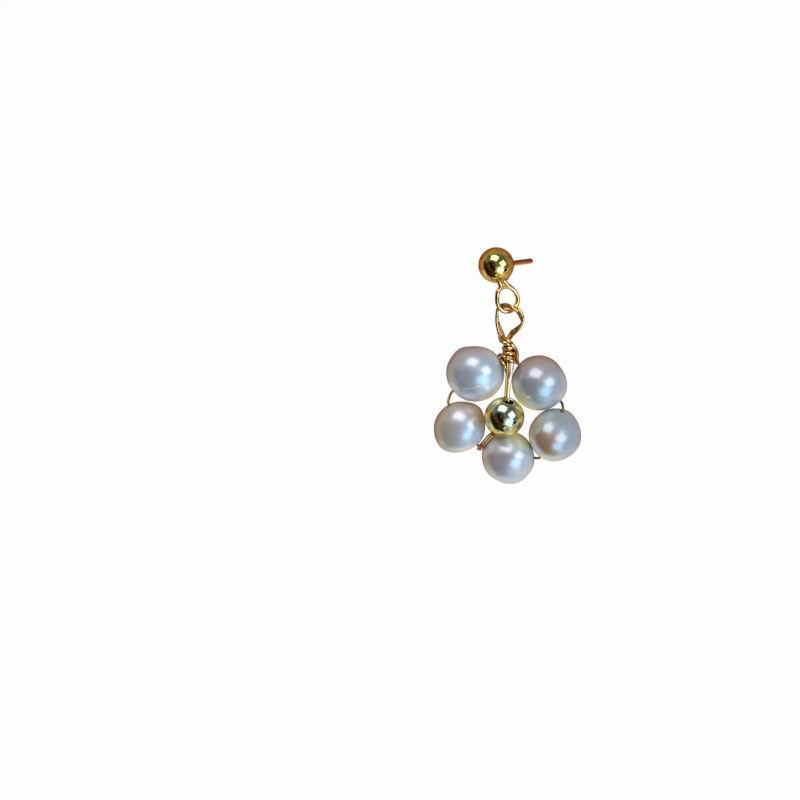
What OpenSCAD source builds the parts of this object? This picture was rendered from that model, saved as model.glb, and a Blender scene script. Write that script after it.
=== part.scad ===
// Drop earring: a ball stud with a small ring, and a pearl flower on a twisted wire eyelet.
// Millimetres, +Z up. The origin is where the post leaves the back of the ball, and the post
// runs along +Y, into the ear. The flower faces to the front, -Y, turned a little to +X.

/* [Ball stud] */
// Diameter of the ball
ball_d = 4.0; // [3.6:0.1:4.4]
// Length of the post behind the ball
post_len = 9.5; // [9:0.1:11.5]
// Diameter of the post
post_d = 0.6; // [0.56:0.02:0.8]

/* [Stud ring] */
// Outer diameter of the ring under the ball
ring_od = 3.18; // [3.1:0.02:3.3]
// Diameter of the ring's wire
ring_wire_d = 0.5; // [0.4:0.02:0.52]
// Height of the ring's centre below the ball's centre
ring_drop = 3.96; // [3.9:0.01:4.0]
// Distance of the ring's centre from under the ball's centre
ring_shift = 1.31; // [1.2:0.01:1.4]
// Turn of the ring's plane about the vertical
ring_turn = 48; // [44:1:52]

/* [Eyelet and neck] */
// Diameter of the twisted pair of wires that makes the eyelet
eyelet_wire_d = 0.6; // [0.44:0.02:0.62]
// Turn of the eyelet's plane away from the flower's plane
eyelet_turn = 32; // [28:1:40]
// Diameter of the wrapped neck at its widest
neck_d = 1.3; // [1.2:0.05:1.35]

/* [Flower] */
// Diameter of the flower's wire
wire_d = 0.32; // [0.26:0.01:0.34]
// Turn of the flower about the vertical
flower_turn = 20; // [18:1:22]
// How far the flower's plane lies behind the ring's lowest point
flower_back = 0.35; // [0.2:0.05:0.5]
// Diameter of the hole drilled through each pearl
pearl_hole_d = 0.6; // [0.5:0.02:0.7]

/* [Bead] */
// Diameter of the bead
bead_d = 4.54; // [4.3:0.02:4.6]
// Diameter of the bead's hole
bead_hole_d = 1.2; // [1.18:0.02:1.3]
// How far the bead's centre lies in front of the flower's plane
bead_front = 2.2; // [2.2:0.05:2.6]

/* [Hidden] */
$fn = 64;
gold = "#c9a23a";
bright_gold = "#d8bf62";
nacre = "#c9c6d2";

// ---- places ----
ball_r = ball_d / 2;
ball_c = [0, -ball_r, 0];
post_r = post_d / 2;
ring_r = (ring_od - ring_wire_d) / 2;                 // to the middle of its wire
ring_c = ball_c + [ring_shift * cos(ring_turn), ring_shift * sin(ring_turn), -ring_drop];
hang = ring_c - [0, 0, ring_r];                       // lowest point of the ring's wire

// The drop is drawn with the hanging point as its origin: X right, Y back, Z up.
module drop() translate(hang) rotate([0, 0, flower_turn]) children();

// ---- pearls: place in the flower's plane, depth behind it, radius, and where the wire's hole
// opens on each side, as directions from the pearl's centre
X = 0; DEPTH = 1; Z = 2; RAD = 3; IN = 4; OUT = 5;
top_left    = [-3.64,  0.00,  -7.10, 3.20, [ 0.79, 0.00,  0.61], [-0.79,  0.00, -0.61]];
lower_left  = [-5.44,  0.00, -13.13, 2.92, [-0.40, -0.41, 0.82], [ 0.69,  0.16, -0.69]];
bottom      = [ 0.03,  0.35, -16.60, 2.99, [-0.90,  0.04, 0.40], [ 0.99,  0.05, -0.08]];
lower_right = [ 5.43, -0.45, -14.02, 3.00, [-0.56,  0.10, -0.82], [ 0.26, -0.50, 0.82]];
top_right   = [ 3.64,  0.10,  -8.16, 3.12, [ 0.76,  0.00, -0.65], [-0.73,  0.00, 0.68]];

function at(p) = [p[X], flower_back + p[DEPTH], p[Z]];
function mouth(p, side) = at(p) + p[RAD] * p[side] / norm(p[side]);

// ---- bead ----
bead_c = [-0.347, flower_back - bead_front, -11.88];
bead_r = bead_d / 2;
// the hole's upper mouth leans to the right and to the front
bead_lean = 18;
bead_tip = 28;
bead_up = [cos(bead_tip) * sin(bead_lean), -sin(bead_tip), cos(bead_tip) * cos(bead_lean)];
bead_side = [cos(bead_lean), 0, -sin(bead_lean)];     // across the hole, in the flower's plane

// ---- curves ----
function unit(v) = v / norm(v);
// cubic from p to q that leaves along a and arrives along b
function bend(p, a, q, b, n, d0 = 0.8) = let (d = d0 * norm(q - p)) [for (i = [0:n]) let (t = i / n)
    (2*t*t*t - 3*t*t + 1) * p + (t*t*t - 2*t*t + t) * d * a
    + (3*t*t - 2*t*t*t) * q + (t*t*t - t*t) * d * b];
// smooth line through the points of a table
function through(p, n) = concat([for (i = [0:len(p) - 2]) for (j = [0:n - 1]) let (
    t = j / n, a = p[max(i - 1, 0)], b = p[i], c = p[i + 1], d = p[min(i + 2, len(p) - 1)])
    0.5 * (2*b + (c - a)*t + (2*a - 5*b + 4*c - d)*t*t + (3*b - a - 3*c + d)*t*t*t)],
    [p[len(p) - 1]]);
function way(p, i) = unit(p[min(i + 1, len(p) - 1)] - p[max(i - 1, 0)]);
function square_to(u, t) = unit(u - (u * t) * t);
function sides_of(p) = [for (i = 0, u = square_to([0.31, 0.87, 0.38], way(p, 0)); i < len(p);
    i = i + 1, u = i < len(p) ? square_to(u, way(p, i)) : u) [u, cross(way(p, i), u)]];

// round wire along points p; r is one radius, or one for each point
module wire(p, r, n = 8) {
    f = sides_of(p);
    m = len(p);
    polyhedron(
        points = [for (i = [0:m - 1]) for (k = [0:n - 1])
            p[i] + (is_list(r) ? r[i] : r) * (cos(360*k/n) * f[i][0] + sin(360*k/n) * f[i][1])],
        faces = concat(
            [[for (k = [0:n - 1]) k]],
            [for (i = [0:m - 2]) for (k = [0:n - 1]) let (a = i*n + k, b = i*n + (k + 1) % n)
                [a, a + n, b + n, b]],
            [[for (k = [n - 1:-1:0]) (m - 1)*n + k]]));
}

// ---- stud ----
module ball() translate(ball_c) rotate([90, 0, 0]) sphere(r = ball_r, $fn = 96);
// set into the ball, with a rounded tip
module post() rotate([-90, 0, 0]) rotate_extrude($fn = 48) polygon(concat([[0, -0.6], [post_r, -0.6]],
    [for (a = [0:18:72]) [post_r * cos(a), post_len - post_r + post_r * sin(a)]], [[0, post_len]]));
module ring() translate(ring_c) rotate([0, 0, ring_turn]) rotate([90, 0, 0]) rotate([0, 0, 37])
    rotate_extrude($fn = 72) translate([ring_r, 0]) circle(d = ring_wire_d, $fn = 24);
// soldered neck between the ball and the ring, near the ring's plane; it ends inside the ring's wire
module solder() translate(ball_c) rotate([0, 0, ring_turn]) translate([0.60, 0.02, -1.55])
    rotate([0, 162, 0]) cylinder(r1 = 0.66, r2 = 0.2, h = 1.18, $fn = 32);
module ear_stud() color(gold) {
    union() {
        ball();
        post();
    }
    union() {
        solder();
        ring();
    }
}

// ---- flower wire ----
// eyelet's outline as it is seen from the front: across and up from the hanging point
eyelet_outline = [
    [-0.33, -2.74], [-0.60, -2.36], [-1.00, -1.75], [-1.24, -1.00], [-1.26, -0.25], [-1.00, 0.38],
    [-0.50, 0.70], [0.10, 0.75], [0.72, 0.58], [1.28, 0.14], [1.66, -0.50], [1.74, -1.20],
    [1.40, -1.88], [0.86, -2.38], [0.30, -2.76]];
function eyelet_point(q) = [q[0], -q[0] * tan(eyelet_turn), q[1]];
// neck's middle line, and its radius as a part of the widest
neck_line = [[-0.02, 0.00, -2.58], [-0.10, 0.02, -3.20], [0.04, 0.06, -3.80], [0.22, 0.12, -4.40],
             [0.36, 0.20, -5.00], [0.40, 0.26, -5.50], [0.40, 0.30, -5.78]];
neck_size = [0.62, 0.96, 1.00, 1.00, 0.96, 0.82, 0.45];
neck_end = [0.37, 0.28, -5.50];

// from pearl to pearl: straight through each hole, and bent between the holes
function hole_way(p) = unit(mouth(p, OUT) - mouth(p, IN));
function bridge(p, q, n, d0 = 0.8) = bend(mouth(p, OUT) + 0.12 * hole_way(p), hole_way(p),
    mouth(q, IN) - 0.12 * hole_way(q), hole_way(q), n, d0);
pearl_path = concat(
    bend(neck_end, [-1, 0, 0.2], mouth(top_left, IN), hole_way(top_left), 6),
    bridge(top_left, lower_left, 8, 0.5),
    bridge(lower_left, bottom, 6),
    bridge(bottom, lower_right, 6),
    bridge(lower_right, top_right, 8, 0.5),
    bend(mouth(top_right, OUT), hole_way(top_right), neck_end, [-1, 0, 0.4], 6));

module flower_wire() color(gold) drop() {
    wire([for (q = through(eyelet_outline, 4)) eyelet_point(q)], eyelet_wire_d / 2, 10);
    line = through(neck_line, 4);
    size = through([for (s = neck_size) [s]], 4);
    // shallow waists between the turns of the wrapped wire
    wire(line, [for (i = [0:len(line) - 1]) neck_d / 2 * size[i][0] * (i % 4 == 2 ? 0.9 : 1)], 12);
    wire(pearl_path, wire_d / 2);
}

// ---- centre wire ----
// Both tails of the wire run side by side from the neck, through the bead, to the flower's wire
// between the lower left and the bottom pearl. They close in a turn round the neck at the top
// and in a hook round the flower's wire below.
neck_hold = [0.31, 0.16, -4.84];
hold_r = neck_d / 2 + wire_d / 2 + 0.08;
gap = wire_d / 2 + 0.02;                              // from the pair's middle to each tail
// middle of the pair, and the way across it, from the hook's end up to the neck
hook_side = [0.95, 0, -0.30];
leg_side = [0.78, 0, -0.63];
pair = [
    [[-3.06,  1.27, -15.46], hook_side],
    [[-3.20,  0.90, -15.70], hook_side],
    [[-3.15,  0.35, -15.60], hook_side],
    [[-3.00, -0.25, -15.30], [0.85, 0, -0.50]],
    [[-2.60, -0.45, -14.85], leg_side],
    [[-1.72, -0.62, -13.90], leg_side],
    [bead_c - (bead_r - 0.12) * bead_up - 0.22 * bead_side, bead_side],
    [bead_c - 0.20 * bead_side, bead_side],
    [bead_c + (bead_r - 0.12) * bead_up - 0.20 * bead_side, bead_side],
    [[-0.02, -2.42,  -9.00], [1, 0, 0]],
    [[ 0.06, -1.62,  -7.80], [1, 0, 0]],
    [[ 0.26, -0.92,  -6.30], [1.2, 0, 0]]];
function tail(s) = through([for (q = pair) q[0] + s * gap * q[1]], 3);
function turn_round(a) = neck_hold + hold_r * [sin(a), -cos(a), -0.16 * sin(a)];
centre_path = let (left = tail(-1), right = tail(1)) concat(left,
    [for (a = [-32:-24:-328]) turn_round(a)], [for (i = [len(right) - 1:-1:0]) right[i]]);

module centre_wire() color(gold) drop() {
    wire(centre_path, wire_d / 2);
}

// ---- bead ----
// turns +Z to the direction d
module aim(d) rotate([0, 0, atan2(d[1], d[0])]) rotate([0, acos(d[2]), 0]) children();
module gold_bead() color(bright_gold) drop() translate(bead_c) aim(bead_up) difference() {
    sphere(r = bead_r, $fn = 96);
    cylinder(d = bead_hole_d, h = bead_d + 2, center = true, $fn = 48);
}

// ---- pearls ----
// the hole runs straight from mouth to mouth, beside the centre in the lower three
module pearl(p) color(nacre) drop() difference() {
    translate(at(p)) aim(hole_way(p)) sphere(r = p[RAD], $fn = 96);
    translate(mouth(p, IN) * 0.5 + mouth(p, OUT) * 0.5) aim(hole_way(p))
        cylinder(d = pearl_hole_d, h = 2 * p[RAD] + 1, center = true, $fn = 32);
}
module pearl_top_left() pearl(top_left);
module pearl_top_right() pearl(top_right);
module pearl_lower_left() pearl(lower_left);
module pearl_lower_right() pearl(lower_right);
module pearl_bottom() pearl(bottom);

ear_stud();
flower_wire();
centre_wire();
gold_bead();
pearl_top_left();
pearl_top_right();
pearl_lower_left();
pearl_lower_right();
pearl_bottom();
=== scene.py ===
"""Looks for the pearl flower drop earring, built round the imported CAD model.

Everything is worked out in millimetres and turned into metres when a mesh is made. The drop is
drawn in its own frame: X right, Y back, Z up, with the stud ring's lowest point as its origin.
"""
import math

import bpy
import numpy as np
from mathutils import Matrix, Vector, noise


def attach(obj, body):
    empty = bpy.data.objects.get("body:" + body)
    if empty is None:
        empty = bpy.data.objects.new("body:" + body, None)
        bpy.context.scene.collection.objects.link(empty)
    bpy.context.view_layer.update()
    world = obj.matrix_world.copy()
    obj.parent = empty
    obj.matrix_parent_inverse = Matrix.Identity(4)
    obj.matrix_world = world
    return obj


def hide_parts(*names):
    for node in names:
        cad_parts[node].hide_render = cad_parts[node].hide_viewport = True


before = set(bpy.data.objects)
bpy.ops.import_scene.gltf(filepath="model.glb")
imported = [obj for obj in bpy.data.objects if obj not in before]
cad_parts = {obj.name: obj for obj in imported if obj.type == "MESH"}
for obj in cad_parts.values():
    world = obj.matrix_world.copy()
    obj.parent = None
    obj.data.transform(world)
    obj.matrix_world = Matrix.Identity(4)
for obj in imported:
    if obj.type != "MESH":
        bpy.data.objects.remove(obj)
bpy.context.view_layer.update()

MM = 0.001
HANG = np.array([0.8766, -1.0265, -5.30])      # lowest point of the stud ring's wire
TURN = math.radians(20)                        # the flower's turn about the vertical
ROT = np.array([[math.cos(TURN), -math.sin(TURN), 0],
                [math.sin(TURN), math.cos(TURN), 0], [0, 0, 1]])
BACK = 0.35                                    # how far the flower's plane lies behind HANG

# camera's own directions in the row frame
RIGHT = np.array([0.93969, 0.34202, 0.0])
VIEW = np.array([-0.34155, 0.93841, -0.05234])
UP = np.cross(RIGHT, VIEW)


def unit(v):
    v = np.asarray(v, float)
    return v / np.linalg.norm(v)


def to_row(p):
    """Drop frame to row frame, both in millimetres."""
    return np.asarray(p, float) @ ROT.T + HANG


# ---------------------------------------------------------------- meshes
def make_mesh(name, verts, faces, body, nodes=(), uvs=None, smooth=True):
    """verts in millimetres in the row frame."""
    me = bpy.data.meshes.new(name)
    me.from_pydata([tuple(float(c) * MM for c in v) for v in verts], [], [tuple(f) for f in faces])
    me.update()
    if uvs is not None:
        layer = me.uv_layers.new(name="UVMap")
        flat = np.array([uvs[f][k] for f in range(len(faces)) for k in range(len(faces[f]))], np.float32)
        layer.data.foreach_set("uv", flat.ravel())
    me.polygons.foreach_set("use_smooth", [smooth] * len(me.polygons))
    ob = bpy.data.objects.new(name, me)
    bpy.context.scene.collection.objects.link(ob)
    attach(ob, body)
    if nodes:
        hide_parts(*nodes)
    return ob


def catmull(table, n=10):
    p = np.asarray(table, float)
    out = []
    for i in range(len(p) - 1):
        a, b, c, d = p[max(i - 1, 0)], p[i], p[i + 1], p[min(i + 2, len(p) - 1)]
        for j in range(n):
            t = j / n
            out.append(0.5 * (2 * b + (c - a) * t + (2 * a - 5 * b + 4 * c - d) * t * t
                              + (3 * b - a - 3 * c + d) * t ** 3))
    out.append(p[-1])
    return np.array(out)


def resample(p, step, closed=False):
    p = np.asarray(p, float)
    if closed:
        p = np.vstack([p, p[:1]])
    seg = np.linalg.norm(np.diff(p, axis=0), axis=1)
    keep = np.concatenate([[True], seg > 1e-9])
    p = p[keep]
    s = np.concatenate([[0], np.cumsum(np.linalg.norm(np.diff(p, axis=0), axis=1))])
    n = max(3, int(round(s[-1] / step)))
    q = np.linspace(0, s[-1], n + 1)
    r = np.column_stack([np.interp(q, s, p[:, k]) for k in range(p.shape[1])])
    return r[:-1] if closed else r


def relax(p, rounds, closed=False):
    """Takes the small corners out of a line."""
    p = p.copy()
    for _ in range(rounds):
        if closed:
            p = 0.5 * p + 0.25 * (np.roll(p, 1, 0) + np.roll(p, -1, 0))
        else:
            p[1:-1] = 0.5 * p[1:-1] + 0.25 * (p[:-2] + p[2:])
    return p


def frames(p, closed=False):
    """Tangent and two side directions that turn as little as possible along the line."""
    if closed:
        t = np.roll(p, -1, 0) - np.roll(p, 1, 0)
    else:
        t = np.gradient(p, axis=0)
    t /= np.linalg.norm(t, axis=1)[:, None]
    n = np.zeros_like(p)
    v = np.array([0.31, 0.87, 0.38])
    v = v - (v @ t[0]) * t[0]
    n[0] = v / np.linalg.norm(v)
    for i in range(1, len(p)):
        v = n[i - 1] - (n[i - 1] @ t[i]) * t[i]
        n[i] = v / np.linalg.norm(v)
    if closed:
        v = n[-1] - (n[-1] @ t[0]) * t[0]
        v /= np.linalg.norm(v)
        b0 = np.cross(t[0], n[0])
        gap = math.atan2(v @ b0, v @ n[0])
        b = np.cross(t, n)
        a = -gap * np.arange(len(p)) / len(p)
        n = n * np.cos(a)[:, None] + b * np.sin(a)[:, None]
    return t, n, np.cross(t, n)


def wobble(x, seed, scale):
    """Smooth number between about -1 and 1 for each x."""
    return np.array([noise.noise(Vector((q * scale, seed * 7.13, seed * 3.7))) for q in np.atleast_1d(x)])


def tube(p, r, sides=16, closed=False, caps=True, seed=1, rough=0.012):
    """Round wire along points p, slightly uneven as drawn wire is. Returns verts, faces, uvs."""
    p = np.asarray(p, float)
    m = len(p)
    rad = np.full(m, r, float) if np.isscalar(r) else np.asarray(r, float).copy()
    s = np.concatenate([[0], np.cumsum(np.linalg.norm(np.diff(p, axis=0), axis=1))])
    rad *= 1 + rough * wobble(s, seed, 1.9)
    if caps and not closed:                      # domed ends
        k = 5
        t, n, b = frames(p)
        head = [p[0] - t[0] * rad[0] * 0.55 * math.sin(a) for a in np.linspace(math.pi / 2, 0, k)[:-1]]
        tail = [p[-1] + t[-1] * rad[-1] * 0.55 * math.sin(a) for a in np.linspace(0, math.pi / 2, k)[1:]]
        hr = [rad[0] * max(math.cos(a), 0.08) for a in np.linspace(math.pi / 2, 0, k)[:-1]]
        tr = [rad[-1] * max(math.cos(a), 0.08) for a in np.linspace(0, math.pi / 2, k)[1:]]
        t = np.vstack([[t[0]] * len(head), t, [t[-1]] * len(tail)])
        n = np.vstack([[n[0]] * len(head), n, [n[-1]] * len(tail)])
        b = np.vstack([[b[0]] * len(head), b, [b[-1]] * len(tail)])
        p = np.vstack([head, p, tail])
        rad = np.concatenate([hr, rad, tr])
    else:
        t, n, b = frames(p, closed)
    m = len(p)
    s = np.concatenate([[0], np.cumsum(np.linalg.norm(np.diff(p, axis=0), axis=1))])
    a = 2 * math.pi * np.arange(sides) / sides
    ca, sa = np.cos(a), np.sin(a)
    verts = (p[:, None, :] + rad[:, None, None] * (ca[None, :, None] * n[:, None, :]
                                                   + sa[None, :, None] * b[:, None, :])).reshape(-1, 3)
    faces, uvs = [], []
    for i in range(m if closed else m - 1):
        j = (i + 1) % m
        v0, v1 = s[i], (s[j] if j else s[i] + 0.05)
        for k in range(sides):
            k2 = (k + 1) % sides
            faces.append((i * sides + k, i * sides + k2, j * sides + k2, j * sides + k))
            u0, u1 = k / sides, (k + 1) / sides
            uvs.append(((u0, v0), (u1, v0), (u1, v1), (u0, v1)))
    if not closed:
        faces.append(tuple(range(sides - 1, -1, -1)))
        uvs.append(tuple((k / sides, s[0]) for k in range(sides - 1, -1, -1)))
        faces.append(tuple((m - 1) * sides + k for k in range(sides)))
        uvs.append(tuple((k / sides, s[-1]) for k in range(sides)))
    return verts, faces, uvs


def joined(parts):
    verts, faces, uvs, base = [], [], [], 0
    for v, f, u in parts:
        verts.append(np.asarray(v))
        faces += [tuple(i + base for i in q) for q in f]
        uvs += list(u)
        base += len(v)
    return np.vstack(verts), faces, uvs


def strands(p, off, pitch, phase, count=2):
    """Middle lines of the wires of a twisted rope along p. off and pitch may change along it."""
    t, n, b = frames(p)
    seg = np.linalg.norm(np.diff(p, axis=0), axis=1)
    pitch = np.broadcast_to(pitch, (len(p),))
    off = np.broadcast_to(off, (len(p),))
    a = phase + np.concatenate([[0], np.cumsum(2 * math.pi * seg / pitch[:-1])])
    return [p + off[:, None] * (np.cos(a + 2 * math.pi * k / count)[:, None] * n
                                + np.sin(a + 2 * math.pi * k / count)[:, None] * b)
            for k in range(count)]


# ---------------------------------------------------------------- materials
def nodes_of(name):
    m = bpy.data.materials.new(name)
    m.use_nodes = True
    nt = m.node_tree
    bsdf = nt.nodes["Principled BSDF"]
    return m, nt, bsdf


def add(nt, kind, **values):
    n = nt.nodes.new(kind)
    for k, v in values.items():
        if k.startswith("_"):
            setattr(n, k[1:], v)
        else:
            n.inputs[k.replace("__", " ")].default_value = v
    return n


def ramp(nt, fac, stops):
    r = nt.nodes.new("ShaderNodeValToRGB")
    el = r.color_ramp.elements
    while len(el) < len(stops):
        el.new(0.5)
    for e, (pos, col) in zip(el, stops):
        e.position = pos
        e.color = (*col, 1) if len(col) == 3 else col
    nt.links.new(fac, r.inputs["Fac"])
    return r


def gold(name, deep, mid, pale, rough, waves=0.0, streaks=False, edge=None, side_reflection=None):
    """Polished gold-coloured plate: slight colour drift, fine haze and soft dents in the polish. edge, if given, is a
    painted reflection: a deeper colour towards the outline. side_reflection, if given, is a painted warm reflection
    towards one side of a ball.
    """
    m, nt, b = nodes_of(name)
    b.inputs["Metallic"].default_value = 1.0
    b.inputs["IOR"].default_value = 1.5
    co = add(nt, "ShaderNodeTexCoord")
    drift = add(nt, "ShaderNodeTexNoise", Scale=520.0, Detail=3.0, Roughness=0.55)
    nt.links.new(co.outputs["Object"], drift.inputs["Vector"])
    col = ramp(nt, drift.outputs["Fac"], [(0.30, deep), (0.52, mid), (0.74, pale)]).outputs["Color"]
    if edge:                                     # painted reflection: deeper colour towards the outline
        facing = add(nt, "ShaderNodeLayerWeight", Blend=0.5).outputs["Facing"]
        col = mixed(nt, ease(nt, facing, 0.30, 0.62), col, edge)
    if side_reflection:                                    # painted reflection: a warmer colour towards one side of a ball
        at, r, way, tint = side_reflection
        rel = add(nt, "ShaderNodeVectorMath", _operation="SUBTRACT")
        nt.links.new(co.outputs["Object"], rel.inputs[0])
        rel.inputs[1].default_value = [float(c) * MM for c in at]
        far = add(nt, "ShaderNodeVectorMath", _operation="DOT_PRODUCT")
        nt.links.new(rel.outputs["Vector"], far.inputs[0])
        far.inputs[1].default_value = [float(c) / (r * MM) for c in way]
        col = mixed(nt, ease(nt, far.outputs["Value"], 0.50, 0.92), col, tint)
    nt.links.new(col, b.inputs["Base Color"])
    haze = add(nt, "ShaderNodeTexNoise", Scale=2600.0, Detail=4.0, Roughness=0.6)
    nt.links.new(co.outputs["Object"], haze.inputs["Vector"])
    hr = add(nt, "ShaderNodeMapRange")
    hr.inputs["From Min"].default_value, hr.inputs["From Max"].default_value = 0.35, 0.75
    hr.inputs["To Min"].default_value, hr.inputs["To Max"].default_value = rough
    nt.links.new(haze.outputs["Fac"], hr.inputs["Value"])
    nt.links.new(hr.outputs["Result"], b.inputs["Roughness"])
    dents = add(nt, "ShaderNodeTexNoise", Scale=900.0, Detail=2.0, Roughness=0.5)
    nt.links.new(co.outputs["Object"], dents.inputs["Vector"])
    bump = add(nt, "ShaderNodeBump")
    bump.inputs["Strength"].default_value = 1.0
    bump.inputs["Distance"].default_value = waves * MM
    nt.links.new(dents.outputs["Fac"], bump.inputs["Height"])
    last = bump
    if streaks:                                  # faint draw lines along the wire
        uv = add(nt, "ShaderNodeUVMap", _uv_map="UVMap")
        mp = add(nt, "ShaderNodeMapping")
        mp.inputs["Scale"].default_value = (26.0, 0.9, 1.0)
        lines = add(nt, "ShaderNodeTexNoise", Scale=1.0, Detail=3.0, Roughness=0.6)
        nt.links.new(uv.outputs["UV"], mp.inputs["Vector"])
        nt.links.new(mp.outputs["Vector"], lines.inputs["Vector"])
        b2 = add(nt, "ShaderNodeBump")
        b2.inputs["Strength"].default_value = 1.0
        b2.inputs["Distance"].default_value = 0.0008 * MM
        nt.links.new(lines.outputs["Fac"], b2.inputs["Height"])
        nt.links.new(bump.outputs["Normal"], b2.inputs["Normal"])
        last = b2
    nt.links.new(last.outputs["Normal"], b.inputs["Normal"])
    return m


def mixed(nt, fac, a, b):
    """fac of b over a; each a colour or a socket."""
    n = nt.nodes.new("ShaderNodeMix")
    n.data_type = "RGBA"
    if isinstance(fac, (int, float)):
        n.inputs["Factor"].default_value = fac
    else:
        nt.links.new(fac, n.inputs["Factor"])
    for i, x in ((6, a), (7, b)):
        if isinstance(x, tuple):
            n.inputs[i].default_value = (*x, 1)
        else:
            nt.links.new(x, n.inputs[i])
    return n.outputs[2]


def ease(nt, x, lo, hi, top=1.0):
    n = nt.nodes.new("ShaderNodeMapRange")
    n.interpolation_type = "SMOOTHSTEP"
    n.inputs["From Min"].default_value, n.inputs["From Max"].default_value = lo, hi
    n.inputs["To Max"].default_value = top
    nt.links.new(x, n.inputs["Value"])
    return n.outputs["Result"]


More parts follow.
